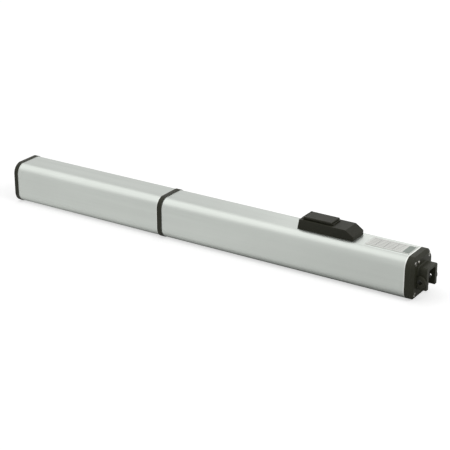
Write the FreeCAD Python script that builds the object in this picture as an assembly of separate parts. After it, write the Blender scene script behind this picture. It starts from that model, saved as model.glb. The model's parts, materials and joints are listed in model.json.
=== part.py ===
"""Hydraulic swing gate opener, in millimetres.

The origin is the centre of the rear fork's cross bore. X runs along the opener, towards the
fork, Y runs across it, and Z is up. The rod leaves the housing towards -X.
"""
import FreeCAD, Part
import math
import os

V = FreeCAD.Vector
ALONG = V(1, 0, 0)
ACROSS = V(0, 1, 0)
UP = V(0, 0, 1)

# Section shared by the housing and the rod cover
section_width = 85.0
section_height = 85.0
flat_width = 50.0
corner_radius = 22.0
wall = 3.2
port_depth = 9.5
port_angle = 50.0
port_radius = 4.6
port_neck = 4.0
port_hole_radius = 2.6
edge_break = 0.8

# Lengths along the opener
housing_length = 546.0
cover_length = 367.0
mid_plate_thickness = 9.0
cap_thickness = 7.5
plate_proud = 1.0
cover_slot_width = 30.0

# Clearances and seals
fit_gap = 0.15
running_gap = 0.05
seat_gap = 0.02
hole_gap = 0.3
gasket_thickness = 1.0
gasket_inset = 1.0

# Rear flange and its fork
rear_body_length = 11.0
rear_bevel_length = 5.5
rear_bevel_inset = 7.0
rear_spigot_length = 10.0
rear_screw_seat = 10.8
pin_from_face = 7.0
pin_below_axis = 5.0
pin_bore_radius = 5.0
fork_width = 44.0
fork_gap = 28.0
fork_reach = 12.3
fork_rise = 27.0
fork_drop = 16.0
hood_thickness = 5.5
hood_radius = 6.0
hood_inner_radius = 4.0
fork_root_radius = 2.5
boss_radius = 12.0
boss_height = 4.0

# Front flange, cap and cover fixings
front_spigot_length = 8.0
guide_spigot_length = 12.0
cap_spigot_length = 8.0
cap_bevel = 1.5
cover_screw_spread = 40.0
cover_screw_radius = 2.0
cover_screw_head_radius = 3.8
cover_screw_length = 9.0

# Corner screws, the same size in every flange
corner_screw_radius = 2.5
corner_head_radius = 4.25
corner_head_height = 5.0
corner_screw_grip = 14.0
key_size = 4.0

# Vent screw and cable inlet in the rear flange
vent_offset = 20.5
vent_share = 0.75
vent_screw_radius = 1.5
vent_head_radius = 2.2
vent_head_height = 2.0
vent_length = 12.0
gland_offset = 5.0
gland_rise = 15.5
gland_radius = 6.0
gland_hex = 14.0
gland_head_height = 2.5
cable_radius = 3.5
cable_seal_wall = 1.4
cable_seal_length = 12.0

# Release housing and lid on the top face
release_from_rear = 240.5
release_length = 121.3
release_width = 44.0
release_height = 19.0
release_lean = 3.5
release_slope_length = 17.0
release_lip_height = 8.0
release_corner_radius = 2.5
release_edge_radius = 0.8
pocket_front_wall = 13.5
pocket_length = 52.0
pocket_width = 27.0
pocket_floor = 2.5
lid_length = 64.0
lid_width = 33.0
lid_thickness = 5.4
lid_lower_thickness = 1.8
lid_lower_inset = 2.0
lid_lip = 3.0
lid_bevel = 1.0
lid_gap = 0.3
lid_hinge_setback = 11.0
lid_pin_radius = 1.0
lug_radius = 2.4
lug_thickness = 3.0
lug_spread = 19.0

# Release spindle, force-setting screws and the screws that hold the housing down
spindle_radius = 4.0
spindle_depth = 26.0
spindle_collar_radius = 5.5
spindle_collar_height = 2.0
spindle_head_radius = 5.0
spindle_head_height = 8.0
spindle_seal_wall = 2.4
spindle_seal_height = 2.5
bypass_spacing = 15.0
bypass_radius = 3.0
bypass_depth = 20.0
bypass_head_radius = 4.0
bypass_head_height = 3.5
bypass_slot_width = 1.2
bypass_slot_depth = 1.5
housing_screw_spacing_x = 40.0
housing_screw_spacing_y = 18.0
housing_screw_radius = 2.0
housing_screw_head_radius = 3.5
housing_screw_head_height = 3.0
housing_screw_depth = 10.0

# Rating plate on the top face
plate_length = 91.0
plate_width = 38.0
plate_thickness = 0.5
plate_from_rear = 4.0

# Valve block and filter
block_length = 60.0
block_width = 62.0
block_drop = 26.0
block_corner = 8.0
filter_radius = 8.0
filter_floor_gap = 2.3
filter_bore_radius = 5.0

# Cylinder, tie rods and rod guide
bore_radius = 20.0
tube_wall = 4.0
tube_seat_depth = 4.0
tube_seal_thickness = 1.0
tie_rod_radius = 2.5
tie_rod_grip = 8.0
nut_size = 8.0
nut_height = 5.0
wiper_length = 5.0
wiper_wall = 4.0
bush_wall = 2.5
rod_seal_length = 7.0
rod_seal_wall = 5.0

# Piston rod and its ball eye
rod_radius = 10.0
stub_radius = 6.0
piston_length = 26.0
piston_nut_height = 8.0
piston_nut_size = 19.0
piston_end_gap = 2.0
piston_seal_width = 5.0
piston_seal_depth = 3.0
rod_standout = 12.0
lock_nut_height = 8.0
lock_nut_size = 22.0
eye_web = 5.0
eye_shank_radius = 9.0
eye_radius = 17.0
eye_thickness = 14.0
eye_stub_depth = 14.0
ball_radius = 11.0
ball_width = 16.0
ball_bore_radius = 6.0
ball_gap = 0.1

# Lobed oil pump
lobe_count = 5
lobe_circle_radius = 14.0
lobe_radius = 6.0
pump_offset = 1.6
pump_gap = 0.1
pump_root_gap = 0.15
pump_ring_radius = 16.5
pump_body_radius = 24.0
pump_plate_thickness = 5.0
pump_body_thickness = 12.0
pump_screw_circle = 20.6
pump_screw_radius = 1.5
pump_screw_head_radius = 2.6
pump_screw_head_height = 3.0
pump_screw_grip = 8.0

# Motor
motor_gap = 3.3
bell_thickness = 10.0
bell_rim_length = 14.0
bell_rim_wall = 2.6
stack_length = 80.0
stack_depth = 17.0
slot_count = 12
slot_width = 4.5
slot_lip = 1.5
slot_yoke = 7.0
winding_overhang = 9.0
winding_gap = 0.2
air_gap = 0.4
rotor_ring_length = 6.0
rotor_ring_drop = 1.6
shaft_radius = 6.0
shaft_nose_radius = 4.0
bearing_width = 8.0
bearing_radius = 13.0
stud_inset = 4.0
stud_radius = 1.6
stud_head_radius = 2.9
stud_head_height = 3.0

# Places worked out from the sizes
axis_z = pin_below_axis
corner_width = (section_width - flat_width) / 2
corner_drop = math.sqrt(2 * corner_radius * corner_width - corner_width ** 2)
housing_rear = -(pin_from_face + rear_body_length + rear_bevel_length)
housing_front = housing_rear - housing_length
end_face = -pin_from_face
cover_rear = housing_front - mid_plate_thickness
cover_front = cover_rear - cover_length
section_top = axis_z + section_height / 2
section_bottom = axis_z - section_height / 2
inner_top = section_top - wall
face_top = section_top - rear_bevel_inset
fork_root_top = fork_rise + fork_root_radius
vent_z = fork_root_top + vent_share * (face_top - fork_root_top)
gland_z = section_bottom + gland_rise

guide_front = cover_rear - front_spigot_length
guide_rear = housing_front + guide_spigot_length
tube_front_seat = guide_rear - tube_seat_depth
wiper_rear = guide_front + wiper_length
rod_seal_front = tube_front_seat - rod_seal_length
bush_front = wiper_rear + gasket_thickness
tube_radius = bore_radius + tube_wall

release_front = housing_rear - release_from_rear
release_rear = release_front + release_length
release_top = section_top + release_height
pocket_front = release_front + pocket_front_wall
pocket_rear = pocket_front + pocket_length
pocket_x = (pocket_front + pocket_rear) / 2
pocket_base = section_top + pocket_floor
hinge_x = release_front + lid_hinge_setback
hinge_z = release_top + lid_gap + lid_thickness / 2

block_front = pocket_x - block_length / 2
block_rear = pocket_x + block_length / 2
block_top = inner_top - gasket_thickness
tube_rear_seat = block_front + tube_seat_depth

rod_nut_rear = tube_rear_seat - piston_end_gap
piston_rear = rod_nut_rear - piston_nut_height
piston_front = piston_rear - piston_length
rod_shoulder = guide_front - rod_standout
lock_nut_front = rod_shoulder - lock_nut_height
eye_x = lock_nut_front - eye_stub_depth - eye_web - ball_radius

filter_height = section_height / 2 - wall - block_drop - filter_floor_gap
motor_radius = min(section_width, section_height) / 2 - wall - motor_gap
stator_bore_radius = motor_radius - stack_depth
slot_inner_radius = stator_bore_radius + slot_lip
slot_outer_radius = motor_radius - slot_yoke
stud_circle = motor_radius - stud_inset

pump_plate_rear = block_rear + pump_plate_thickness
pump_rear = pump_plate_rear + pump_body_thickness
front_bell_rear = pump_rear + bell_thickness
stack_front = front_bell_rear + bell_rim_length
stack_rear = stack_front + stack_length
rear_bell_front = stack_rear + bell_rim_length
rear_bell_rear = rear_bell_front + bell_thickness


def block(x0, x1, y0, y1, z0, z1):
    """Box between two corners."""
    return Part.makeBox(x1 - x0, y1 - y0, z1 - z0, V(x0, y0, z0))


def cylinder_x(radius, x0, x1, y=0.0, z=axis_z):
    """Cylinder along X, on the opener's own axis unless another is given."""
    return Part.makeCylinder(radius, x1 - x0, V(x0, y, z), ALONG)


def cylinder_y(radius, y0, y1, x, z):
    """Cylinder along Y."""
    return Part.makeCylinder(radius, y1 - y0, V(x, y0, z), ACROSS)


def cylinder_z(radius, z0, z1, x, y=0.0):
    """Cylinder along Z."""
    return Part.makeCylinder(radius, z1 - z0, V(x, y, z0), UP)


def ring_x(inner, outer, x0, x1, y=0.0, z=axis_z):
    """Ring along X."""
    return cylinder_x(outer, x0, x1, y, z).cut(cylinder_x(inner, x0, x1, y, z))


def ring_z(inner, outer, z0, z1, x, y=0.0):
    """Ring along Z."""
    return cylinder_z(outer, z0, z1, x, y).cut(cylinder_z(inner, z0, z1, x, y))


def hexagon_x(across_flats, x0, x1, y=0.0, z=axis_z, turn=0.0):
    """Hexagonal prism along X, with a corner at the angle of turn."""
    radius = across_flats / math.sqrt(3)
    corners = []
    for step in range(6):
        angle = turn + math.radians(60 * step)
        corners.append(V(x0, y + radius * math.cos(angle), z + radius * math.sin(angle)))
    corners.append(corners[0])
    return Part.Face(Part.makePolygon(corners)).extrude(V(x1 - x0, 0, 0))


def rounded_outline(corners, radii):
    """Closed wire through the corners, each rounded by its own radius."""
    starts, middles, ends = [], [], []
    for index, corner in enumerate(corners):
        back = (corners[index - 1] - corner).normalize()
        ahead = (corners[(index + 1) % len(corners)] - corner).normalize()
        half_angle = back.getAngle(ahead) / 2
        radius = radii[index]
        tangent = radius / math.tan(half_angle)
        inwards = (back + ahead).normalize()
        starts.append(corner + back * tangent)
        middles.append(corner + inwards * (radius / math.sin(half_angle) - radius))
        ends.append(corner + ahead * tangent)
    edges = []
    for index, radius in enumerate(radii):
        if radius > 0:
            edges.append(Part.Arc(starts[index], middles[index], ends[index]).toShape())
        following = starts[(index + 1) % len(corners)]
        edges.append(Part.makeLine(ends[index], following))
    return Part.Wire(edges)


def corner_arc(x, side, level, growth):
    """Ends and middle of one round corner: at the side, between, and at the crease of the flat."""
    radius = corner_radius + growth
    centre_y = section_width / 2 - corner_radius
    centre_z = section_height / 2 - corner_drop
    crease_z = section_height / 2 + growth
    crease_y = centre_y + math.sqrt(radius ** 2 - (crease_z - centre_z) ** 2)
    middle = math.radians(45)
    places = [
        (centre_y + radius, centre_z),
        (centre_y + radius * math.cos(middle), centre_z + radius * math.sin(middle)),
        (crease_y, crease_z),
    ]
    return [V(x, side * y, axis_z + level * z) for y, z in places]


def section_wire(x, growth=0.0):
    """Outline of the section: four flats and four round corners, with a crease above and below."""
    lower_right = corner_arc(x, 1, -1, growth)
    upper_right = corner_arc(x, 1, 1, growth)
    upper_left = corner_arc(x, -1, 1, growth)
    lower_left = corner_arc(x, -1, -1, growth)
    lower_right.reverse()
    upper_left.reverse()
    arcs = [lower_right, upper_right, upper_left, lower_left]
    edges = []
    for index, (start, middle, end) in enumerate(arcs):
        following = arcs[(index + 1) % len(arcs)]
        edges.append(Part.Arc(start, middle, end).toShape())
        edges.append(Part.makeLine(end, following[0]))
    return Part.Wire(edges)


def section_solid(x0, x1, growth=0.0):
    """Bar of the opener's section."""
    return Part.Face(section_wire(x0, growth)).extrude(V(x1 - x0, 0, 0))


def port_outwards(side, level):
    """Direction from a screw port to the skin of its corner."""
    angle = math.radians(port_angle)
    return V(0, side * math.cos(angle), level * math.sin(angle))


def port_places():
    """Centres of the four screw ports, each inside a round corner."""
    centre_y = section_width / 2 - corner_radius
    centre_z = section_height / 2 - corner_drop
    places = []
    for side in (-1, 1):
        for level in (-1, 1):
            reach = port_outwards(side, level) * (corner_radius - port_depth)
            places.append((side * centre_y + reach.y, axis_z + level * centre_z + reach.z))
    return places


def ports(radius, x0, x1):
    """Four cylinders on the screw ports, as one shape."""
    cylinders = [cylinder_x(radius, x0, x1, y, z) for y, z in port_places()]
    return cylinders[0].multiFuse(cylinders[1:])


def port_bosses(growth, x0, x1):
    """Four round bosses, each with a neck out to the skin of its corner, as one shape."""
    half_neck = port_neck / 2 + growth
    shapes = []
    for y, z in port_places():
        side = math.copysign(1, y)
        level = math.copysign(1, z - axis_z)
        neck = block(x0, x1, -half_neck, half_neck, 0, port_depth)
        neck.Placement = FreeCAD.Placement(V(0, y, z), FreeCAD.Rotation(UP, port_outwards(side, level)))
        shapes.append(cylinder_x(port_radius + growth, x0, x1, y, z).fuse(neck))
    return shapes[0].multiFuse(shapes[1:])


def profile_tube(x0, x1, growth=0.0):
    """Hollow section with a screw port in each corner."""
    outer = section_solid(x0, x1, growth)
    hollow = section_solid(x0, x1, -wall).cut(port_bosses(0.0, x0, x1))
    return outer.cut(hollow).cut(ports(port_hole_radius, x0, x1))


def spigot(x0, x1):
    """Plug that fits inside a profile and clears its screw ports."""
    plug = section_solid(x0, x1, -(wall + fit_gap))
    return plug.cut(port_bosses(fit_gap, x0, x1))


def bevelled_plate(x_inner, x_outer, growth, bevel_length, bevel_inset):
    """Plate of the section whose outer face is smaller all round by a bevel."""
    direction = 1 if x_outer > x_inner else -1
    x_bevel = x_outer - direction * bevel_length
    straight = section_solid(x_inner, x_bevel, growth)
    wires = [section_wire(x_bevel, growth), section_wire(x_outer, growth - bevel_inset)]
    return straight.fuse(Part.makeLoft(wires, True, True)).removeSplitter()


def socket_screw(radius, grip, head_radius, head_height, key):
    """Socket head screw along X: its head sits from X = 0 upwards and its shank goes to -X."""
    head = cylinder_x(head_radius, 0, head_height, 0, 0)
    socket = hexagon_x(key, head_height / 2, head_height, 0, 0)
    shank = cylinder_x(radius, -grip, 0, 0, 0)
    return head.fuse(shank).removeSplitter().cut(socket)


def countersunk_screw(radius, grip, head_radius, key):
    """Countersunk screw along X: its flat head ends at X = 0 and its shank goes to -X."""
    drop = head_radius - radius
    head = Part.makeCone(head_radius, radius, drop, V(0, 0, 0), V(-1, 0, 0))
    shank = cylinder_x(radius, -grip, -drop, 0, 0)
    socket = hexagon_x(key, -drop * 0.8, 0, 0, 0)
    return head.fuse(shank).removeSplitter().cut(socket)


def countersink(radius, depth, head_radius):
    """Hole for a countersunk screw, in the same pose as the screw."""
    drop = head_radius - radius
    cone = Part.makeCone(head_radius + seat_gap, radius + seat_gap, drop, V(0, 0, 0), V(-1, 0, 0))
    return cone.fuse(cylinder_x(radius + hole_gap / 2, -depth, 0, 0, 0))


def pointed(shape, direction, place):
    """Shape made along +X, turned to another direction and moved to its place."""
    turned = shape.copy()
    turned.Placement = FreeCAD.Placement(place, FreeCAD.Rotation(ALONG, direction))
    return turned


def group(shapes):
    """Separate solids that share one node."""
    return Part.makeCompound(shapes)


def make_main_profile():
    """Housing extrusion, with the holes that the release parts pass through."""
    profile = profile_tube(housing_rear - housing_length, housing_rear)
    return profile.cut(release_holes(inner_top - wall, section_top + wall))


def release_holes(z0, z1):
    """Holes for the spindle, the two force-setting screws and the housing screws."""
    holes = [cylinder_z(spindle_radius + hole_gap, z0, z1, pocket_x)]
    for side in (-1, 1):
        holes.append(cylinder_z(bypass_radius + hole_gap, z0, z1, pocket_x + side * bypass_spacing))
    for x, y in housing_screw_places():
        holes.append(cylinder_z(housing_screw_radius + hole_gap, z0, z1, x, y))
    return holes[0].multiFuse(holes[1:])


def housing_screw_places():
    """Places of the four screws in the release pocket."""
    half_x = housing_screw_spacing_x / 2
    half_y = housing_screw_spacing_y / 2
    return [(pocket_x + a * half_x, b * half_y) for a in (-1, 1) for b in (-1, 1)]


def make_rod_cover():
    """Cover extrusion, open along its bottom so that the gate bracket reaches the rod eye."""
    half_slot = cover_slot_width / 2
    slot = block(cover_front, cover_rear, -half_slot, half_slot,
                 section_bottom - wall, section_bottom + 2 * wall)
    cover = profile_tube(cover_front, cover_rear).cut(slot)
    for sink in cover_screw_shapes(countersink(cover_screw_radius, cover_screw_length,
                                               cover_screw_head_radius)):
        cover = cover.cut(sink)
    return cover


def cover_screw_shapes(shape):
    """The shape pointed down at both fixing screws of the rod cover."""
    x = cover_rear - front_spigot_length / 2
    places = [V(x, side * cover_screw_spread / 2, section_bottom) for side in (-1, 1)]
    return [pointed(shape, V(0, 0, -1), place) for place in places]


def make_gasket(x0):
    """Flat gasket on the end of the housing, set in from the outline."""
    return profile_tube(x0, x0 + gasket_thickness, -gasket_inset)


def gasket_seat(x0):
    """Recess for such a gasket."""
    return profile_tube(x0, x0 + gasket_thickness, -gasket_inset).fuse(
        ports(port_hole_radius, x0, x0 + gasket_thickness))


def fork_outline(x, half_width, rise, drop, radius):
    """Outline of the fork or of its gap: square below and rounded at the top."""
    corners = [V(x, half_width, -drop), V(x, half_width, rise),
               V(x, -half_width, rise), V(x, -half_width, -drop)]
    return rounded_outline(corners, [0.0, radius, radius, 0.0])


def make_fork():
    """Inverted U that the ears and the hood are cut from."""
    half_width = fork_width / 2
    outer = Part.Face(fork_outline(end_face - rear_bevel_length, half_width, fork_rise, fork_drop,
                                   hood_radius))
    return outer.extrude(V(fork_reach + pin_from_face + rear_bevel_length, 0, 0))


def fork_opening():
    """Gap between the ears, rounded under the hood, open at its end and below."""
    inner = Part.Face(fork_outline(end_face, fork_gap / 2, fork_rise - hood_thickness,
                                   fork_drop * 2, hood_inner_radius))
    return inner.extrude(V(fork_reach * 2, 0, 0))


def edges_on_plane(shape, x, half_width, low, high):
    """Edges that lie in the plane X = x inside a window of Y and Z."""
    found = []
    for edge in shape.Edges:
        box = edge.BoundBox
        in_plane = abs(box.XMin - x) < fit_gap and abs(box.XMax - x) < fit_gap
        inside = max(abs(box.YMin), abs(box.YMax)) <= half_width and box.ZMin >= low and box.ZMax <= high
        if in_plane and inside:
            found.append(edge)
    return found


def make_rear_flange():
    """Rear casting: bevelled plate, plug, fork, screw seats, vent and cable holes."""
    plate = bevelled_plate(housing_rear, end_face, 0.0, rear_bevel_length, rear_bevel_inset)
    body = plate.fuse(make_fork()).removeSplitter()
    root_edges = edges_on_plane(body, end_face, fork_width / 2 + fit_gap, -fork_drop - fit_gap,
                                fork_rise + fit_gap)
    body = body.makeFillet(fork_root_radius, root_edges)
    half_width = fork_width / 2 + boss_height
    bosses = cylinder_y(boss_radius, -half_width, half_width, 0, 0)
    bosses = bosses.makeChamfer(edge_break, [edge for edge in bosses.Edges
                                             if edge.BoundBox.YLength < fit_gap])
    body = body.fuse(bosses).cut(fork_opening())
    body = body.fuse(spigot(housing_rear - rear_spigot_length, housing_rear))
    body = body.cut(gasket_seat(housing_rear))
    body = body.cut(ports(corner_screw_radius + hole_gap, housing_rear, end_face))
    seat = housing_rear + rear_screw_seat
    body = body.cut(ports(corner_head_radius + hole_gap, seat, 0))
    body = body.cut(cylinder_y(pin_bore_radius, -half_width, half_width, 0, 0))
    body = body.cut(cylinder_x(vent_screw_radius + seat_gap, end_face - vent_length, end_face,
                               -vent_offset, vent_z))
    return body.cut(cylinder_x(gland_radius + seat_gap, housing_rear - rear_spigot_length,
                               end_face, gland_offset, gland_z))


def make_rear_flange_screws():
    """Four screws sunk in the corners of the rear flange."""
    screw = socket_screw(corner_screw_radius, rear_screw_seat + corner_screw_grip,
                         corner_head_radius, corner_head_height, key_size)
    seat = housing_rear + rear_screw_seat
    return group([pointed(screw, ALONG, V(seat, y, z)) for y, z in port_places()])


def make_vent_screw():
    """Screw that lets the oil tank breathe."""
    screw = socket_screw(vent_screw_radius, vent_length, vent_head_radius, vent_head_height,
                         vent_head_radius)
    return pointed(screw, ALONG, V(end_face, -vent_offset, vent_z))


def make_cable_gland():
    """Hexagon-headed gland through the rear flange."""
    tail = housing_rear - rear_spigot_length
    mouth = end_face + gland_head_height
    head = hexagon_x(gland_hex, end_face, mouth, gland_offset, gland_z)
    body = head.fuse(cylinder_x(gland_radius, tail, end_face, gland_offset, gland_z)).removeSplitter()
    body = body.cut(cylinder_x(cable_radius, tail, mouth, gland_offset, gland_z))
    return body.cut(cylinder_x(cable_radius + cable_seal_wall, mouth - cable_seal_length, mouth,
                               gland_offset, gland_z))


def make_cable_seal():
    """Rubber sleeve in the mouth of the gland."""
    mouth = end_face + gland_head_height
    return ring_x(cable_radius, cable_radius + cable_seal_wall, mouth - cable_seal_length, mouth,
                  gland_offset, gland_z)


def make_front_flange():
    """Plate between the two profiles, with a plug in each and the rod guide's stepped bore."""
    body = section_solid(cover_rear, housing_front, plate_proud)
    body = body.fuse(spigot(guide_front, cover_rear)).fuse(spigot(housing_front, guide_rear))
    bores = [
        cylinder_x(rod_radius + hole_gap, guide_front, guide_rear),
        cylinder_x(rod_radius + wiper_wall, guide_front, wiper_rear),
        cylinder_x(rod_radius + bush_wall, bush_front, rod_seal_front),
        cylinder_x(rod_radius + rod_seal_wall, rod_seal_front, tube_front_seat),
        cylinder_x(tube_radius + seat_gap, tube_front_seat, guide_rear),
    ]
    body = body.cut(bores[0].multiFuse(bores[1:]))
    body = body.cut(gasket_seat(housing_front - gasket_thickness))
    sink = countersink(corner_screw_radius, mid_plate_thickness, corner_head_radius)
    for y, z in port_places():
        body = body.cut(pointed(sink, V(-1, 0, 0), V(cover_rear, y, z)))
    for y, z in tie_rod_places():
        body = body.cut(cylinder_x(tie_rod_radius + seat_gap, guide_rear - tie_rod_grip, guide_rear, y, z))
    for hole in cover_screw_shapes(cylinder_x(cover_screw_radius + seat_gap, -cover_screw_length,
                                              0, 0, 0)):
        body = body.cut(hole)
    return body


def make_front_flange_screws():
    """Four flush screws that hold the front flange to the housing."""
    screw = countersunk_screw(corner_screw_radius, mid_plate_thickness + corner_screw_grip,
                              corner_head_radius, key_size / 2)
    return group([pointed(screw, V(-1, 0, 0), V(cover_rear, y, z)) for y, z in port_places()])


def make_cover_screws():
    """Two flush screws in the cover's bottom lips."""
    screw = countersunk_screw(cover_screw_radius, cover_screw_length, cover_screw_head_radius,
                              key_size / 2)
    return group(cover_screw_shapes(screw))


def make_front_cap():
    """End cap with a plug and four screw seats."""
    face = cover_front - cap_thickness
    body = bevelled_plate(cover_front, face, plate_proud, cap_bevel, cap_bevel)
    body = body.fuse(spigot(cover_front, cover_front + cap_spigot_length))
    sink = countersink(corner_screw_radius, cap_thickness, corner_head_radius)
    for y, z in port_places():
        body = body.cut(pointed(sink, V(-1, 0, 0), V(face, y, z)))
    return body


def make_front_cap_screws():
    """Four flush screws in the cap's face."""
    face = cover_front - cap_thickness
    screw = countersunk_screw(corner_screw_radius, cap_thickness + corner_screw_grip,
                              corner_head_radius, key_size / 2)
    return group([pointed(screw, V(-1, 0, 0), V(face, y, z)) for y, z in port_places()])


def make_rating_plate():
    """Bare plate on the top face."""
    x1 = housing_rear - plate_from_rear
    return block(x1 - plate_length, x1, -plate_width / 2, plate_width / 2,
                 section_top, section_top + plate_thickness)


def release_side_outline(y):
    """Side view of the release housing: leaning front, flat top, sloping rear and a lip."""
    x_slope = release_rear - release_slope_length
    places = [
        (release_front, section_top), (release_rear, section_top),
        (release_rear, section_top + release_lip_height), (x_slope, release_top),
        (release_front + release_lean, release_top), (release_front, section_top),
    ]
    return Part.makePolygon([V(x, y, z) for x, z in places])


def upright_edges(shape):
    """Edges between a side and an end of the release housing."""
    found = []
    half_width = release_width / 2
    for edge in shape.Edges:
        centre = edge.CenterOfMass
        at_side = abs(abs(centre.y) - half_width) < fit_gap
        tall = edge.BoundBox.ZLength > release_lip_height - fit_gap
        steep = edge.BoundBox.XLength < release_lean + fit_gap
        if at_side and tall and steep:
            found.append(edge)
    return found


def upper_edges(shape):
    """Edges that border the top and the slope of the release housing."""
    found = []
    lip_top = section_top + release_lip_height
    for edge in shape.Edges:
        if edge.BoundBox.ZMin > lip_top - fit_gap:
            found.append(edge)
    return found


def make_release_housing():
    """Moulded housing with a pocket over the release spindle and two hinge lugs."""
    half_width = release_width / 2
    body = Part.Face(release_side_outline(-half_width)).extrude(V(0, release_width, 0))
    body = body.makeFillet(release_corner_radius, upright_edges(body))
    body = body.makeFillet(release_edge_radius, upper_edges(body))
    pocket = block(pocket_front, pocket_rear, -pocket_width / 2, pocket_width / 2,
                   pocket_base, release_top)
    body = body.cut(pocket)
    body = body.cut(release_holes(section_top, pocket_base))
    for side in (-1, 1):
        y0 = side * lug_spread / 2 - lug_thickness / 2
        lug = cylinder_y(lug_radius, y0, y0 + lug_thickness, hinge_x, hinge_z)
        stem = block(hinge_x - lug_radius, hinge_x + lug_radius, y0, y0 + lug_thickness,
                     release_top - release_edge_radius, hinge_z)
        body = body.fuse(lug.fuse(stem))
    return body.cut(cylinder_y(lid_pin_radius + seat_gap, -lug_spread, lug_spread, hinge_x, hinge_z))


def lid_notch_edges():
    """Places across the lid where its barrel starts and stops: a notch for each hinge lug."""
    inner = lug_spread / 2 - lug_thickness / 2 - hole_gap
    outer = lug_spread / 2 + lug_thickness / 2 + hole_gap
    half_width = lid_width / 2
    return [-half_width, -outer, -inner, inner, outer, half_width]


def make_release_lid():
    """Lid with an overhanging upper tier, a finger lip and a barrel round the hinge pin."""
    half_width = lid_width / 2
    barrel_radius = lid_thickness / 2
    lower_half = half_width - lid_lower_inset
    under = hinge_z - barrel_radius
    top = hinge_z + barrel_radius
    step = under + lid_lower_thickness
    upper = block(hinge_x, hinge_x + lid_length - lid_lip, -half_width, half_width, step, top)
    top_edges = [edge for edge in upper.Edges
                 if edge.BoundBox.ZMin > top - fit_gap and edge.CenterOfMass.x > hinge_x + fit_gap]
    upper = upper.makeChamfer(lid_bevel, top_edges)
    lower = block(hinge_x, hinge_x + lid_length, -lower_half, lower_half, under, step)
    lid = upper.fuse(lower)
    edges = lid_notch_edges()
    for y0, y1 in (edges[1:3], edges[3:5]):
        lid = lid.cut(block(hinge_x, hinge_x + barrel_radius + hole_gap, y0, y1, under, top))
    for y0, y1 in (edges[0:2], edges[2:4], edges[4:6]):
        lid = lid.fuse(cylinder_y(barrel_radius, y0, y1, hinge_x, hinge_z))
    bore = cylinder_y(lid_pin_radius + running_gap, -half_width, half_width, hinge_x, hinge_z)
    return lid.removeSplitter().cut(bore)


def make_lid_pin():
    """Hinge pin of the lid, a little shorter than the lid is wide."""
    reach = lid_width / 2 - lid_bevel
    return cylinder_y(lid_pin_radius, -reach, reach, hinge_x, hinge_z)


def make_release_housing_screws():
    """Four screws in the pocket that hold the housing, the profile and the block together."""
    grip = pocket_floor + wall + gasket_thickness + housing_screw_depth
    screw = socket_screw(housing_screw_radius, grip, housing_screw_head_radius,
                         housing_screw_head_height, housing_screw_head_radius)
    return group([pointed(screw, UP, V(x, y, pocket_base)) for x, y in housing_screw_places()])


def make_release_spindle():
    """Spindle with a collar and a three-sided head for the release key."""
    collar_base = pocket_base + lid_gap
    collar_top = collar_base + spindle_collar_height
    stem = cylinder_z(spindle_radius, block_top - spindle_depth, collar_base, pocket_x)
    collar = cylinder_z(spindle_collar_radius, collar_base, collar_top, pocket_x)
    corners = []
    for step in range(3):
        angle = math.radians(120 * step)
        corners.append(V(pocket_x + spindle_head_radius * math.cos(angle),
                         spindle_head_radius * math.sin(angle), collar_top))
    corners.append(corners[0])
    head = Part.Face(Part.makePolygon(corners)).extrude(V(0, 0, spindle_head_height))
    return stem.fuse([collar, head]).removeSplitter()


def make_release_seal():
    """Seal ring round the spindle in the top of the valve block."""
    inner = spindle_radius + running_gap
    return ring_z(inner, inner + spindle_seal_wall, block_top - spindle_seal_height, block_top, pocket_x)


def make_bypass_screw(side):
    """Slotted force-setting screw, one each side of the spindle."""
    x = pocket_x + side * bypass_spacing
    head_base = pocket_base + lid_gap
    head_top = head_base + bypass_head_height
    body = cylinder_z(bypass_radius, block_top - bypass_depth, head_base, x)
    body = body.fuse(cylinder_z(bypass_head_radius, head_base, head_top, x)).removeSplitter()
    slot = block(x - bypass_head_radius, x + bypass_head_radius, -bypass_slot_width / 2,
                 bypass_slot_width / 2, head_top - bypass_slot_depth, head_top)
    return body.cut(slot)


def tie_rod_places():
    """Centres of the four tie rods, each midway between the cylinder tube and a screw port."""
    places = []
    for y, z in port_places():
        port_reach = math.hypot(y, z - axis_z)
        share = (tube_radius + port_reach - port_radius) / 2 / port_reach
        places.append((y * share, axis_z + (z - axis_z) * share))
    return places


def make_valve_block():
    """Block that carries the cylinder, the pump, the spindle and the force-setting screws."""
    half_width = block_width / 2
    low = axis_z - block_drop
    corners = [V(block_front, half_width, low), V(block_front, half_width, block_top),
               V(block_front, -half_width, block_top), V(block_front, -half_width, low)]
    corners.reverse()
    crown = section_top - block_top + block_corner
    outline = rounded_outline(corners, [block_corner, crown, crown, block_corner])
    body = Part.Face(outline).extrude(V(block_length, 0, 0))
    body = body.cut(port_bosses(fit_gap, block_front, block_rear))
    body = body.cut(cylinder_x(tube_radius + seat_gap, block_front, tube_rear_seat))
    for y, z in tie_rod_places():
        body = body.cut(cylinder_x(tie_rod_radius + seat_gap, block_front, block_rear, y, z))
    body = body.cut(cylinder_z(spindle_radius + running_gap, block_top - spindle_depth - fit_gap,
                               block_top, pocket_x))
    seal_radius = spindle_radius + running_gap + spindle_seal_wall
    body = body.cut(cylinder_z(seal_radius, block_top - spindle_seal_height, block_top, pocket_x))
    for side in (-1, 1):
        body = body.cut(cylinder_z(bypass_radius + running_gap, block_top - bypass_depth - fit_gap,
                                   block_top, pocket_x + side * bypass_spacing))
    for x, y in housing_screw_places():
        body = body.cut(cylinder_z(housing_screw_radius + seat_gap, block_top - housing_screw_depth,
                                   block_top, x, y))
    for y, z in pump_screw_places():
        body = body.cut(cylinder_x(pump_screw_radius + seat_gap, block_rear - pump_screw_grip,
                                   block_rear, y, z))
    return body


def make_block_gasket():
    """Flat gasket between the valve block and the housing's top wall."""
    half = block_width / 2 - section_top + block_top - block_corner
    sheet = block(block_front, block_rear, -half, half, block_top, inner_top)
    return sheet.cut(release_holes(block_top, inner_top))


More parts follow.
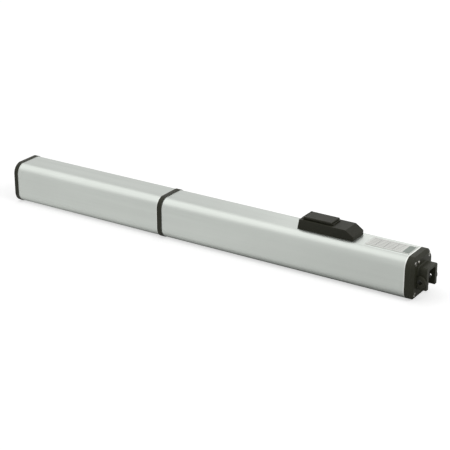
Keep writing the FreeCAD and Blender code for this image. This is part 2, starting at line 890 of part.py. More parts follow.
def make_suction_filter():
    """Cup filter under the valve block, where the pump draws its oil."""
    top = axis_z - block_drop
    cup = cylinder_z(filter_radius, top - filter_height, top, pocket_x)
    bore_top = top - filter_height + filter_height / 4
    return cup.cut(cylinder_z(filter_bore_radius, bore_top, top, pocket_x))


def make_cylinder_tube():
    """Honed tube of the hydraulic cylinder."""
    return ring_x(bore_radius, tube_radius, tube_front_seat + tube_seal_thickness,
                  tube_rear_seat - tube_seal_thickness)


def make_cylinder_seals():
    """Seal ring at each end of the cylinder tube."""
    starts = [tube_front_seat, tube_rear_seat - tube_seal_thickness]
    return group([ring_x(bore_radius, tube_radius, x, x + tube_seal_thickness) for x in starts])


def make_tie_rods():
    """Four tie rods that clamp the cylinder between flange and block."""
    x0 = guide_rear - tie_rod_grip
    return group([cylinder_x(tie_rod_radius, x0, block_rear + nut_height, y, z)
                  for y, z in tie_rod_places()])


def make_tie_rod_nuts():
    """Nuts of the tie rods behind the valve block, each with a flat towards the axis."""
    nuts = []
    for y, z in tie_rod_places():
        turn = math.atan2(z - axis_z, y) + math.radians(30)
        nut = hexagon_x(nut_size, block_rear, block_rear + nut_height, y, z, turn)
        hole = cylinder_x(tie_rod_radius + seat_gap, block_rear, block_rear + nut_height, y, z)
        nuts.append(nut.cut(hole))
    return group(nuts)


def make_rod_wiper():
    """Scraper ring at the mouth of the rod guide."""
    return ring_x(rod_radius + running_gap, rod_radius + wiper_wall, guide_front, wiper_rear)


def make_rod_guide_bush():
    """Plain bush that guides the rod."""
    return ring_x(rod_radius + running_gap, rod_radius + bush_wall, bush_front, rod_seal_front)


def make_rod_seal():
    """Pressure seal behind the bush."""
    return ring_x(rod_radius + running_gap, rod_radius + rod_seal_wall, rod_seal_front, tube_front_seat)


def make_piston():
    """Piston with two seal grooves."""
    body = ring_x(stub_radius + seat_gap, bore_radius - running_gap, piston_front, piston_rear)
    for x in piston_groove_starts():
        body = body.cut(ring_x(bore_radius - piston_seal_depth, bore_radius, x, x + piston_seal_width))
    return body


def piston_groove_starts():
    """Front faces of the two grooves, evenly spaced along the piston."""
    spare = (piston_length - 2 * piston_seal_width) / 3
    return [piston_front + spare, piston_front + 2 * spare + piston_seal_width]


def make_piston_seals():
    """Two rings in the piston's grooves."""
    return group([ring_x(bore_radius - piston_seal_depth, bore_radius - seat_gap, x,
                         x + piston_seal_width) for x in piston_groove_starts()])


def make_piston_nut():
    """Nut behind the piston."""
    nut = hexagon_x(piston_nut_size, piston_rear, rod_nut_rear)
    return nut.cut(cylinder_x(stub_radius + seat_gap, piston_rear, rod_nut_rear))


def make_piston_rod():
    """Rod with a reduced end for the piston and another for the eye."""
    bar = cylinder_x(rod_radius, rod_shoulder, piston_front)
    tail = cylinder_x(stub_radius, piston_front, rod_nut_rear)
    nose = cylinder_x(stub_radius, lock_nut_front - eye_stub_depth, rod_shoulder)
    return bar.fuse([tail, nose]).removeSplitter()


def make_rod_lock_nut():
    """Nut that locks the eye on the rod."""
    nut = hexagon_x(lock_nut_size, lock_nut_front, rod_shoulder)
    return nut.cut(cylinder_x(stub_radius + seat_gap, lock_nut_front, rod_shoulder))


def make_rod_eye():
    """Forged eye whose round head holds the ball."""
    half = eye_thickness / 2
    head = cylinder_z(eye_radius, axis_z - half, axis_z + half, eye_x)
    rims = [edge for edge in head.Edges if edge.BoundBox.ZLength < fit_gap]
    head = head.makeChamfer(edge_break, rims)
    shank = cylinder_x(eye_shank_radius, eye_x, lock_nut_front)
    flats = block(eye_x, lock_nut_front, -eye_radius, eye_radius, axis_z - half, axis_z + half)
    eye = head.fuse(shank.common(flats)).removeSplitter()
    seat = Part.makeSphere(ball_radius + ball_gap, V(eye_x, 0, axis_z))
    mouth = lock_nut_front - eye_stub_depth - fit_gap
    return eye.cut(seat).cut(cylinder_x(stub_radius + seat_gap, mouth, lock_nut_front))


def make_eye_ball():
    """Ball with flat ends and a bore for the gate bracket's pin."""
    half = ball_width / 2
    ball = Part.makeSphere(ball_radius, V(eye_x, 0, axis_z))
    ball = ball.common(cylinder_z(ball_radius, axis_z - half, axis_z + half, eye_x))
    return ball.cut(cylinder_z(ball_bore_radius, axis_z - half, axis_z + half, eye_x))


def pump_screw_places():
    """Centres of the four pump screws, above, below and beside the shaft."""
    places = []
    for step in range(4):
        angle = math.radians(90 * step)
        places.append((pump_screw_circle * math.cos(angle), axis_z + pump_screw_circle * math.sin(angle)))
    return places


def make_pump_plate():
    """Port plate between the valve block and the pump ring."""
    plate = cylinder_x(pump_body_radius, block_rear, pump_plate_rear)
    plate = plate.cut(cylinder_x(shaft_nose_radius + running_gap, block_rear, pump_plate_rear))
    for y, z in pump_screw_places():
        plate = plate.cut(cylinder_x(pump_screw_radius + seat_gap, block_rear, pump_plate_rear, y, z))
    return plate


def make_pump_body():
    """Ring round the pump's outer rotor, bored off the shaft's axis."""
    body = cylinder_x(pump_body_radius, pump_plate_rear, pump_rear)
    body = body.cut(cylinder_x(pump_ring_radius + running_gap, pump_plate_rear, pump_rear, 0,
                               axis_z + pump_offset))
    for y, z in pump_screw_places():
        body = body.cut(cylinder_x(pump_screw_radius + seat_gap, pump_plate_rear, pump_rear, y, z))
    return body


def make_pump_outer_rotor():
    """Outer rotor with one round lobe for each of its teeth."""
    x0 = pump_plate_rear + running_gap
    x1 = pump_rear - running_gap
    centre_z = axis_z + pump_offset
    root_radius = lobe_circle_radius + 2 * pump_offset - lobe_radius + pump_root_gap
    body = ring_x(root_radius, pump_ring_radius, x0, x1, 0, centre_z)
    blank = cylinder_x(pump_ring_radius - running_gap, x0, x1, 0, centre_z)
    for step in range(lobe_count):
        angle = 2 * math.pi * step / lobe_count
        lobe = cylinder_x(lobe_radius - pump_gap, x0, x1, lobe_circle_radius * math.sin(angle),
                          centre_z + lobe_circle_radius * math.cos(angle))
        body = body.fuse(lobe.common(blank))
    return body.removeSplitter()


def inner_rotor_point(angle, x):
    """Point of the inner rotor: the path of a lobe's centre, moved inwards by the lobe's radius."""
    path_y = lobe_circle_radius * math.sin(angle) + pump_offset * math.sin(lobe_count * angle)
    path_z = lobe_circle_radius * math.cos(angle) + pump_offset * math.cos(lobe_count * angle)
    speed_y = lobe_circle_radius * math.cos(angle) + lobe_count * pump_offset * math.cos(lobe_count * angle)
    speed_z = -lobe_circle_radius * math.sin(angle) - lobe_count * pump_offset * math.sin(lobe_count * angle)
    speed = math.hypot(speed_y, speed_z)
    inward_y = speed_z / speed
    inward_z = -speed_y / speed
    return V(x, path_y + lobe_radius * inward_y, axis_z + path_z + lobe_radius * inward_z)


def make_pump_inner_rotor():
    """Inner rotor, with one tooth fewer than the outer, keyed to the motor's shaft."""
    x0 = pump_plate_rear + running_gap
    steps = 12 * (lobe_count - 1)
    points = [inner_rotor_point(2 * math.pi * step / steps, x0) for step in range(steps)]
    curve = Part.BSplineCurve()
    curve.interpolate(Points=points, PeriodicFlag=True)
    face = Part.Face(Part.Wire([curve.toShape()]))
    body = face.extrude(V(pump_rear - running_gap - x0, 0, 0))
    return body.cut(cylinder_x(shaft_nose_radius + seat_gap, x0, pump_rear))


def make_pump_screws():
    """Four screws through the motor's front bell and the pump into the valve block."""
    grip = bell_thickness + pump_body_thickness + pump_plate_thickness + pump_screw_grip
    screw = socket_screw(pump_screw_radius, grip, pump_screw_head_radius, pump_screw_head_height,
                         pump_screw_head_radius)
    return group([pointed(screw, ALONG, V(front_bell_rear, y, z)) for y, z in pump_screw_places()])


def stud_places():
    """Centres of the four motor studs."""
    places = []
    for step in range(4):
        angle = math.radians(45 + 90 * step)
        places.append((stud_circle * math.cos(angle), axis_z + stud_circle * math.sin(angle)))
    return places


def make_motor_front_bell():
    """Front end bell: disc, rim, bearing seat and the pump screws' holes."""
    disc = cylinder_x(motor_radius, pump_rear, front_bell_rear)
    rim = ring_x(motor_radius - bell_rim_wall, motor_radius, front_bell_rear, stack_front)
    body = disc.fuse(rim).removeSplitter()
    body = body.cut(cylinder_x(shaft_nose_radius + hole_gap, pump_rear, front_bell_rear))
    body = body.cut(cylinder_x(bearing_radius, front_bell_rear - bearing_width, front_bell_rear))
    for y, z in pump_screw_places():
        body = body.cut(cylinder_x(pump_screw_radius + seat_gap, pump_rear, front_bell_rear, y, z))
    return body.cut(stud_holes(pump_rear, stack_front))


def stud_holes(x0, x1):
    """Holes of the four motor studs."""
    holes = [cylinder_x(stud_radius + seat_gap, x0, x1, y, z) for y, z in stud_places()]
    return holes[0].multiFuse(holes[1:])


def make_motor_rear_bell():
    """Rear end bell: disc, rim and bearing seat."""
    disc = cylinder_x(motor_radius, rear_bell_front, rear_bell_rear)
    rim = ring_x(motor_radius - bell_rim_wall, motor_radius, stack_rear, rear_bell_front)
    body = disc.fuse(rim).removeSplitter()
    body = body.cut(cylinder_x(bearing_radius, rear_bell_front, rear_bell_front + bearing_width))
    return body.cut(stud_holes(stack_rear, rear_bell_rear))


def make_motor_stator():
    """Stack of laminations with slots round the bore."""
    body = ring_x(stator_bore_radius, motor_radius, stack_front, stack_rear)
    slots = [slot_bar(step, 0.0, stack_front, stack_rear) for step in range(slot_count)]
    return body.cut(slots[0].multiFuse(slots[1:])).cut(stud_holes(stack_front, stack_rear))


def slot_bar(step, gap, x0, x1):
    """Bar that fills one slot of the stack, less a gap all round."""
    half = slot_width / 2 - gap
    bar = block(x0, x1, -half, half, axis_z + slot_inner_radius + gap, axis_z + slot_outer_radius - gap)
    bar.rotate(V(0, 0, axis_z), ALONG, 360.0 * step / slot_count)
    return bar


def make_motor_windings():
    """Coils in the slots, joined by a bevelled head at each end of the stack."""
    x0 = stack_front - winding_overhang
    x1 = stack_rear + winding_overhang
    inner = slot_inner_radius + winding_gap
    outer = slot_outer_radius - winding_gap
    heads = [ring_x(inner, outer, x0, stack_front - winding_gap),
             ring_x(inner, outer, stack_rear + winding_gap, x1)]
    bevelled = []
    for head, end in zip(heads, (x0, x1)):
        rims = [edge for edge in head.Edges if abs(edge.CenterOfMass.x - end) < fit_gap
                and edge.BoundBox.XLength < fit_gap]
        bevelled.append(head.makeChamfer((outer - inner) / 4, rims))
    bars = [slot_bar(step, winding_gap, stack_front - 2 * winding_gap, stack_rear + 2 * winding_gap)
            for step in range(slot_count)]
    return bevelled[0].multiFuse([bevelled[1]] + bars).removeSplitter()


def make_motor_rotor():
    """Rotor core with a smaller ring at each end."""
    core_radius = stator_bore_radius - air_gap
    core = cylinder_x(core_radius, stack_front, stack_rear)
    ends = cylinder_x(core_radius - rotor_ring_drop, stack_front - rotor_ring_length,
                      stack_rear + rotor_ring_length)
    body = core.fuse(ends).removeSplitter()
    return body.cut(cylinder_x(shaft_radius + seat_gap, stack_front - rotor_ring_length,
                               stack_rear + rotor_ring_length))


def make_motor_shaft():
    """Shaft that carries the rotor and drives the pump's inner rotor."""
    nose = cylinder_x(shaft_nose_radius, block_rear + running_gap, front_bell_rear - bearing_width)
    main = cylinder_x(shaft_radius, front_bell_rear - bearing_width + running_gap,
                      rear_bell_front + bearing_width - running_gap)
    link = cylinder_x(shaft_nose_radius, front_bell_rear - bearing_width,
                      front_bell_rear - bearing_width + running_gap)
    return nose.fuse([link, main]).removeSplitter()


def make_motor_bearings():
    """Bearing in each end bell, with a shallow channel in both faces."""
    starts = [front_bell_rear - bearing_width, rear_bell_front]
    bearings = []
    for x in starts:
        ring = ring_x(shaft_radius + running_gap, bearing_radius, x, x + bearing_width)
        inner = shaft_radius + bearing_width / 4
        outer = bearing_radius - bearing_width / 4
        for face in (x, x + bearing_width - edge_break):
            ring = ring.cut(ring_x(inner, outer, face, face + edge_break))
        bearings.append(ring)
    return group(bearings)


def make_motor_studs():
    """Four long screws that hold the bells and the stack together."""
    grip = rear_bell_rear - front_bell_rear + bell_thickness / 2
    screw = socket_screw(stud_radius, grip, stud_head_radius, stud_head_height, stud_head_radius)
    return group([pointed(screw, ALONG, V(rear_bell_rear, y, z)) for y, z in stud_places()])


def make_parts():
    """Every piece by its name."""
    return {
        "main_profile": make_main_profile(),
        "rod_cover": make_rod_cover(),
        "front_cap": make_front_cap(),
        "front_cap_screws": make_front_cap_screws(),
        "front_flange": make_front_flange(),
        "front_flange_screws": make_front_flange_screws(),
        "cover_screws": make_cover_screws(),
        "front_gasket": make_gasket(housing_front - gasket_thickness),
        "rear_flange": make_rear_flange(),
        "rear_flange_screws": make_rear_flange_screws(),
        "rear_gasket": make_gasket(housing_rear),
        "vent_screw": make_vent_screw(),
        "cable_gland": make_cable_gland(),
        "cable_seal": make_cable_seal(),
        "rating_plate": make_rating_plate(),
        "release_housing": make_release_housing(),
        "release_housing_screws": make_release_housing_screws(),
        "release_lid": make_release_lid(),
        "lid_pin": make_lid_pin(),
        "release_spindle": make_release_spindle(),
        "release_seal": make_release_seal(),
        "opening_bypass_screw": make_bypass_screw(-1),
        "closing_bypass_screw": make_bypass_screw(1),
        "valve_block": make_valve_block(),
        "block_gasket": make_block_gasket(),
        "suction_filter": make_suction_filter(),
        "cylinder_tube": make_cylinder_tube(),
        "cylinder_seals": make_cylinder_seals(),
        "tie_rods": make_tie_rods(),
        "tie_rod_nuts": make_tie_rod_nuts(),
        "rod_wiper": make_rod_wiper(),
        "rod_guide_bush": make_rod_guide_bush(),
        "rod_seal": make_rod_seal(),
        "piston": make_piston(),
        "piston_seals": make_piston_seals(),
        "piston_nut": make_piston_nut(),
        "piston_rod": make_piston_rod(),
        "rod_lock_nut": make_rod_lock_nut(),
        "rod_eye": make_rod_eye(),
        "eye_ball": make_eye_ball(),
        "pump_plate": make_pump_plate(),
        "pump_body": make_pump_body(),
        "pump_outer_rotor": make_pump_outer_rotor(),
        "pump_inner_rotor": make_pump_inner_rotor(),
        "pump_screws": make_pump_screws(),
        "motor_front_bell": make_motor_front_bell(),
        "motor_rear_bell": make_motor_rear_bell(),
        "motor_stator": make_motor_stator(),
        "motor_windings": make_motor_windings(),
        "motor_rotor": make_motor_rotor(),
        "motor_shaft": make_motor_shaft(),
        "motor_bearings": make_motor_bearings(),
        "motor_studs": make_motor_studs(),
    }


os.makedirs("parts", exist_ok=True)
for name, shape in make_parts().items():
    box = shape.BoundBox
    print(f"{name}: {len(shape.Solids)} solids, valid {shape.isValid()}, {shape.Volume / 1000:.1f} cm3, "
          f"X {box.XMin:.1f}..{box.XMax:.1f}")
    shape.exportStep(os.path.join("parts", name + ".step"))
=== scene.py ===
"""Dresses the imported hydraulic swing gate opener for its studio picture."""
import json
import logging
import math
from dataclasses import dataclass, field
from enum import Enum
from typing import Iterable

import bmesh
import bpy
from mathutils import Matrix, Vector


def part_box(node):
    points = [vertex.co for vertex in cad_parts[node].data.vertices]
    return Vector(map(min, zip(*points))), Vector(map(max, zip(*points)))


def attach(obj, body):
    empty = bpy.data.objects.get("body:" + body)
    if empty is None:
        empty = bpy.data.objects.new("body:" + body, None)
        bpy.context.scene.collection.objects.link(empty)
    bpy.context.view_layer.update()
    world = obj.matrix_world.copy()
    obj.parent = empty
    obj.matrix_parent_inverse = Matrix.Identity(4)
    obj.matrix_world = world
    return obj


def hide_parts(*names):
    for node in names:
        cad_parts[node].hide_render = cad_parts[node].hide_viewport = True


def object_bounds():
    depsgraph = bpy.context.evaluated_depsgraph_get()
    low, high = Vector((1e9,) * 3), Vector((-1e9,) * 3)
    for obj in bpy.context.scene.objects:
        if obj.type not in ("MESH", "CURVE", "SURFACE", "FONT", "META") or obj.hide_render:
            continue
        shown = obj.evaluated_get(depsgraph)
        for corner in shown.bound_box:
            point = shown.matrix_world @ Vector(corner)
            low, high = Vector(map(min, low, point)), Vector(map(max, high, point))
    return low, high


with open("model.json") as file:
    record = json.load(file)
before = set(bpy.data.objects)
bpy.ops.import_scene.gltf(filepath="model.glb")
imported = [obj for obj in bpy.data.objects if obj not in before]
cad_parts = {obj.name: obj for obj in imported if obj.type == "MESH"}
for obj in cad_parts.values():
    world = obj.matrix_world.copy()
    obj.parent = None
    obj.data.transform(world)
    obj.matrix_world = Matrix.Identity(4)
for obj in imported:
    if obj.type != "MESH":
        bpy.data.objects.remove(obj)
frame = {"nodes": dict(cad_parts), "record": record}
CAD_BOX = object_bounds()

LOG = logging.getLogger("gate_opener")
MM = 0.001
WHITE = (1.0, 1.0, 1.0)
# Numbers of the Mix node's factor and colour sockets
MIX_INPUTS = (0, 6, 7)
MIX_RESULT = 2
Socket = bpy.types.NodeSocket
Colour = tuple[float, float, float]
Place = tuple[float, float, float]
Span = tuple[float, float]
Value = Socket | float | Colour


class Axis(Enum):
    """Axes of the opener: along it, across it and up."""

    X = 0
    Y = 1
    Z = 2


class Sheet:
    """Node tree of one material or group, with short calls that add and join nodes."""

    def __init__(self, tree: bpy.types.NodeTree) -> None:
        """Empty the tree and keep it."""
        self.tree = tree
        tree.nodes.clear()

    def add(self, kind: str, values: dict | None = None, **settings: object) -> bpy.types.Node:
        """Add a node.

        Args:
            kind: Type name of the node.
            values: Socket values or sources by the socket's name or number.
            settings: Attributes of the node itself.

        Returns:
            The new node.
        """
        node = self.tree.nodes.new(kind)
        for name, value in settings.items():
            setattr(node, name, value)
        for key, value in (values or {}).items():
            self.feed(node.inputs[key], value)
        return node

    def feed(self, target: Socket, value: Value) -> None:
        """Join a socket to a source, or give it a constant.

        Args:
            target: The socket.
            value: The source's socket, or a number, colour or vector.
        """
        if isinstance(value, Socket):
            self.tree.links.new(value, target)
        elif target.type == "RGBA":
            target.default_value = (*value, 1.0)
        else:
            target.default_value = value

    def math(self, operation: str, first: Value, *others: Value) -> Socket:
        """Return an operation on one value, or on several from left to right.

        Args:
            operation: Name of the operation.
            first: The first value.
            others: The values after it.

        Returns:
            The socket of the result.
        """
        if not others:
            return self.add("ShaderNodeMath", {0: first}, operation=operation).outputs[0]
        for other in others:
            first = self.add("ShaderNodeMath", {0: first, 1: other}, operation=operation).outputs[0]
        return first

    def span(self, value: Socket, source: Span, target: Span = (0.0, 1.0)) -> Socket:
        """Return a value carried from one range to another and held inside it."""
        return self.add("ShaderNodeMapRange", dict(enumerate((value, *source, *target)))).outputs[0]

    def tint(self, factor: Value, first: Value, second: Value) -> Socket:
        """Return a mix of two colours."""
        values = dict(zip(MIX_INPUTS, (factor, first, second)))
        return self.add("ShaderNodeMix", values, data_type="RGBA").outputs[MIX_RESULT]

    def place(self) -> Socket:
        """Return the Object coordinates."""
        return self.add("ShaderNodeTexCoord").outputs["Object"]

    def along(self, axis: Axis) -> Socket:
        """Return one of the Object coordinates."""
        return self.add("ShaderNodeSeparateXYZ", {0: self.place()}).outputs[axis.value]

    def drawn_out(self, scale: float) -> Socket:
        """Return the Object coordinates, scaled along the opener."""
        values = {0: self.place(), 1: (scale, 1.0, 1.0)}
        return self.add("ShaderNodeVectorMath", values, operation="MULTIPLY").outputs[0]

    def noise(self, vector: Socket, scale: Value, detail: float = 2.0) -> Socket:
        """Return the value of a noise texture."""
        values = {"Vector": vector, "Scale": scale, "Detail": detail}
        return self.add("ShaderNodeTexNoise", values).outputs["Fac"]

    def group(self, tree: bpy.types.NodeTree, **values: Value) -> bpy.types.Node:
        """Place a shared group.

        Args:
            tree: The group's node tree.
            values: Socket values by name, with _ for a space.

        Returns:
            The group's node.
        """
        node = self.add("ShaderNodeGroup", node_tree=tree)
        for name, value in values.items():
            self.feed(node.inputs[name.replace("_", " ")], value)
        return node


def new_group(name: str, inputs: Iterable[str], outputs: Iterable[str]) -> tuple[Sheet, dict, dict]:
    """Start a shader node group of plain float sockets.

    Args:
        name: Name of the group.
        inputs: Names of its inputs.
        outputs: Names of its outputs.

    Returns:
        The sheet to draw on, the input sockets by name and the output sockets by name.
    """
    tree = bpy.data.node_groups.new(name, "ShaderNodeTree")
    sheet = Sheet(tree)
    for label in inputs:
        tree.interface.new_socket(label, in_out="INPUT", socket_type="NodeSocketFloat")
    for label in outputs:
        tree.interface.new_socket(label, in_out="OUTPUT", socket_type="NodeSocketFloat")
    entry = sheet.add("NodeGroupInput").outputs
    leave = sheet.add("NodeGroupOutput").inputs
    return sheet, {label: entry[label] for label in inputs}, {label: leave[label] for label in outputs}


@dataclass
class Effects:
    """Shared groups that several finishes place with their own values.

    Attributes:
        finer: Scale of the finer half of the skin against the fine half.
        fine_detail: Detail of the fine half.
        finer_detail: Detail of the finer half.
        patch_detail: Detail of the patches.
        rounding_samples: Samples that find an edge.
        rounding: Cosines of the turn at an edge between which the edge mask starts and is full.
        break_scale: Scale of the noise that breaks up the edge mask.
        break_detail: Its detail.
        breaks: Noise values between which the edge mask comes through.
        least_wear_and_highlight: Share of the mask left where it is broken.
        line_stretch: Scale of the drawing lines along the opener against across it.
        band_stretch: The same for the slow bands.
        band_scale: Scale of the slow bands.
        grain: Group with a fine skin and slow patches.
        wear_and_highlight: Group with an edge mask: worn edges, and a painted highlight on mouldings.
        drawn: Group with fine lengthwise lines and slow bands.
    """

    finer: float = 2.7
    fine_detail: float = 3.0
    finer_detail: float = 1.0
    patch_detail: float = 4.0
    rounding_samples: int = 6
    rounding: Span = (0.995, 0.9)
    break_scale: float = 240.0
    break_detail: float = 3.0
    breaks: Span = (0.4, 0.6)
    least_wear_and_highlight: float = 0.2
    line_stretch: float = 0.004
    band_stretch: float = 0.02
    band_scale: float = 90.0
    grain: bpy.types.NodeTree = field(init=False)
    wear_and_highlight: bpy.types.NodeTree = field(init=False)
    drawn: bpy.types.NodeTree = field(init=False)

    def __post_init__(self) -> None:
        """Build every group once."""
        self.grain = self.build_grain()
        self.wear_and_highlight = self.build_wear_and_highlight()
        self.drawn = self.build_drawn()

    def build_grain(self) -> bpy.types.NodeTree:
        """Build the fine skin and slow patches of castings and mouldings.

        Returns:
            The group's node tree.
        """
        sheet, inputs, outputs = new_group("skin grain", ["Grain Scale", "Patch Scale"],
                                           ["Height", "Patches"])
        place = sheet.place()
        fine = sheet.noise(place, inputs["Grain Scale"], self.fine_detail)
        finer_scale = sheet.math("MULTIPLY", inputs["Grain Scale"], self.finer)
        finer = sheet.noise(place, finer_scale, self.finer_detail)
        sheet.feed(outputs["Height"], sheet.math("MULTIPLY", sheet.math("ADD", fine, finer), 0.5))
        sheet.feed(outputs["Patches"], sheet.noise(place, inputs["Patch Scale"], self.patch_detail))
        return sheet.tree

    def build_wear_and_highlight(self) -> bpy.types.NodeTree:
        """Build the edge mask: worn edges on castings, and a painted highlight on moulding edges.

        Returns:
            The group's node tree.
        """
        sheet, inputs, outputs = new_group("edge wear", ["Width", "Amount"], ["Mask"])
        # Castings show this edge mask as worn edges. Mouldings show it as polish plus a painted
        # highlight.
        width = {"Radius": inputs["Width"]}
        rounded = sheet.add("ShaderNodeBevel", width, samples=self.rounding_samples)
        normals = {0: rounded.outputs[0], 1: sheet.add("ShaderNodeNewGeometry").outputs["Normal"]}
        turned = sheet.add("ShaderNodeVectorMath", normals, operation="DOT_PRODUCT").outputs["Value"]
        noise = sheet.noise(sheet.place(), self.break_scale, self.break_detail)
        broken = sheet.span(noise, self.breaks, (self.least_wear_and_highlight, 1.0))
        mask = sheet.math("MULTIPLY", sheet.span(turned, self.rounding), broken, inputs["Amount"])
        sheet.feed(outputs["Mask"], mask)
        return sheet.tree

    def build_drawn(self) -> bpy.types.NodeTree:
        """Build the fine lengthwise lines of an extrusion.

        Returns:
            The group's node tree.
        """
        sheet, inputs, outputs = new_group("drawn lines", ["Line Scale"], ["Lines", "Bands"])
        lines = sheet.noise(sheet.drawn_out(self.line_stretch), inputs["Line Scale"])
        bands = sheet.noise(sheet.drawn_out(self.band_stretch), self.band_scale)
        sheet.feed(outputs["Lines"], lines)
        sheet.feed(outputs["Bands"], bands)
        return sheet.tree


@dataclass
class Coat:
    """Material in the making.

    Attributes:
        sheet: Its sheet.
        shader: Its Principled shader.
        effects: The shared groups.
    """

    sheet: Sheet
    shader: bpy.types.Node
    effects: Effects

    def feed(self, socket: str, value: Value) -> None:
        """Feed one of the shader's sockets."""
        self.sheet.feed(self.shader.inputs[socket], value)

    def bump(self, height: Socket, depth: float) -> None:
        """Raise the surface by a map of height from 0 to 1, which is worth depth in metres."""
        values = {"Height": height, "Distance": depth, "Strength": 1.0}
        self.feed("Normal", self.sheet.add("ShaderNodeBump", values).outputs[0])

    def grain(self, grain_scale: float, patch_scale: float) -> tuple[Socket, Socket]:
        """Return the height of a fine skin, and slow patches."""
        node = self.sheet.group(self.effects.grain, Grain_Scale=grain_scale, Patch_Scale=patch_scale)
        return node.outputs["Height"], node.outputs["Patches"]

    def edge_wear_and_highlight(self, width: float, amount: float) -> Socket:
        """Return the edge mask, for worn edges and for a painted edge highlight."""
        return self.sheet.group(self.effects.wear_and_highlight, Width=width, Amount=amount).outputs["Mask"]

    def drawn(self, line_scale: float) -> tuple[Socket, Socket]:
        """Return the lines of drawing and the slow bands between them."""
        node = self.sheet.group(self.effects.drawn, Line_Scale=line_scale)
        return node.outputs["Lines"], node.outputs["Bands"]


@dataclass(frozen=True)
class Finish:
    """Finish of one material slot: a Principled shader and the marks that a subclass adds.

    Attributes:
        slot: Material slot that it dresses.
        colour: Base colour.
        roughness: Roughness before the marks.
        metallic: 1 for bare metal.
        gloss: Specular level.
        grain_scale: Scale of the fine skin.
        patch_scale: Scale of the slow patches.
        patch_span: Values of the patches between which the dark shade gives way to the light one.
        shades: Factors on the colour in the dark and in the light shade.
        mark_span: Values of a map of marks between which the roughness rises.
        matting: What the marks add to the roughness at both ends of that span.
        depth: Height of the bump.
    """

    slot: str
    colour: Colour
    roughness: float = 0.5
    metallic: float = 0.0
    gloss: float = 0.5
    grain_scale: float = 700.0
    patch_scale: float = 70.0
    patch_span: Span = (0.0, 1.0)
    shades: Span = (0.88, 1.08)
    mark_span: Span = (0.3, 0.7)
    matting: Span = (-0.06, 0.08)
    depth: float = 0.004 * MM

    def material(self, effects: Effects) -> bpy.types.Material:
        """Build the material.

        Args:
            effects: The shared groups.

        Returns:
            The finished material.
        """
        material = bpy.data.materials.new(self.slot)
        material.use_nodes = True
        sheet = Sheet(material.node_tree)
        shader = sheet.add("ShaderNodeBsdfPrincipled", {"Base Color": self.colour,
                                                        "Roughness": self.roughness,
                                                        "Metallic": self.metallic,
                                                        "Specular IOR Level": self.gloss})
        sheet.add("ShaderNodeOutputMaterial", {"Surface": shader.outputs[0]})
        self.dress(Coat(sheet, shader, effects))
        return material

    def dress(self, coat: Coat) -> None:
        """Add this finish's own marks."""

    def grain(self, coat: Coat) -> tuple[Socket, Socket]:
        """Return the height of this finish's skin, and its patches."""
        return coat.grain(self.grain_scale, self.patch_scale)

    def shade(self, amount: float) -> Colour:
        """Return the colour made lighter or darker by a factor."""
        return tuple(min(part * amount, 1.0) for part in self.colour)

    def shaded(self, coat: Coat, patches: Socket) -> Socket:
        """Return the colour, dark or light as the patches say."""
        dark, light = (self.shade(amount) for amount in self.shades)
        return coat.sheet.tint(coat.sheet.span(patches, self.patch_span), dark, light)

    def matted(self, coat: Coat, marks: Socket) -> Socket:
        """Return the roughness, less or more as the marks say."""
        low, high = (self.roughness + step for step in self.matting)
        return coat.sheet.span(marks, self.mark_span, (low, high))


@dataclass(frozen=True)
class Anodised(Finish):
    """Satin anodised extrusion with faint drawing lines, and bright cut ends with a painted edge
    highlight.

    Attributes:
        line_scale: Scale of the drawing lines.
        band_share: Share of the slow bands in the tone, the rest being patches.
        extrusions: The nodes cut from this section.
        sawn_and_highlight: Colour of their ends: bare cut metal, with a painted edge highlight.
        sawn_highlight_width: Width of that bright band, a painted highlight where it lies on the
            walls.
    """

    grain_scale: float = 1800.0
    patch_scale: float = 9.0
    patch_span: Span = (0.35, 0.65)
    shades: Span = (0.965, 1.03)
    mark_span: Span = (0.7, 1.3)
    matting: Span = (-0.04, 0.06)
    depth: float = 0.006 * MM
    line_scale: float = 1500.0
    band_share: float = 0.6
    extrusions: tuple[str, ...] = ("main_profile", "rod_cover")
    sawn_and_highlight: Colour = (0.66, 0.67, 0.64)
    sawn_highlight_width: float = 1.9 * MM

    def dress(self, coat: Coat) -> None:
        """Add drawing lines, slow bands, a matt bite, and the cut ends with their painted edge
        highlight.

        Args:
            coat: The material in the making.
        """
        sheet = coat.sheet
        lines, bands = coat.drawn(self.line_scale)
        height, patches = self.grain(coat)
        tone = sheet.math("ADD", sheet.math("MULTIPLY", bands, self.band_share),
                          sheet.math("MULTIPLY", patches, 1.0 - self.band_share))
        # Bright band: bare cut metal on each end face, and a painted edge highlight on the walls
        # beside it.
        coat.feed("Base Color", sheet.tint(self.sawn_ends_and_highlight(sheet), self.shaded(coat, tone), self.sawn_and_highlight))
        relief = sheet.math("ADD", lines, height)
        coat.feed("Roughness", self.matted(coat, relief))
        coat.bump(relief, self.depth)

    def sawn_ends_and_highlight(self, sheet: Sheet) -> Socket:
        """Mark both ends of each extrusion: bare cut metal, with a painted edge highlight beside it.

        Args:
            sheet: The material's sheet.

        Returns:
            1 in a narrow band at each end and 0 elsewhere.
        """
        along = sheet.along(Axis.X)
        ends = [corner.x for node in self.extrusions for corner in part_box(node)]
        reaches = [sheet.math("ABSOLUTE", sheet.math("SUBTRACT", along, end)) for end in ends]
        bands = [sheet.math("LESS_THAN", reach, self.sawn_highlight_width) for reach in reaches]
        return sheet.math("MAXIMUM", *bands)


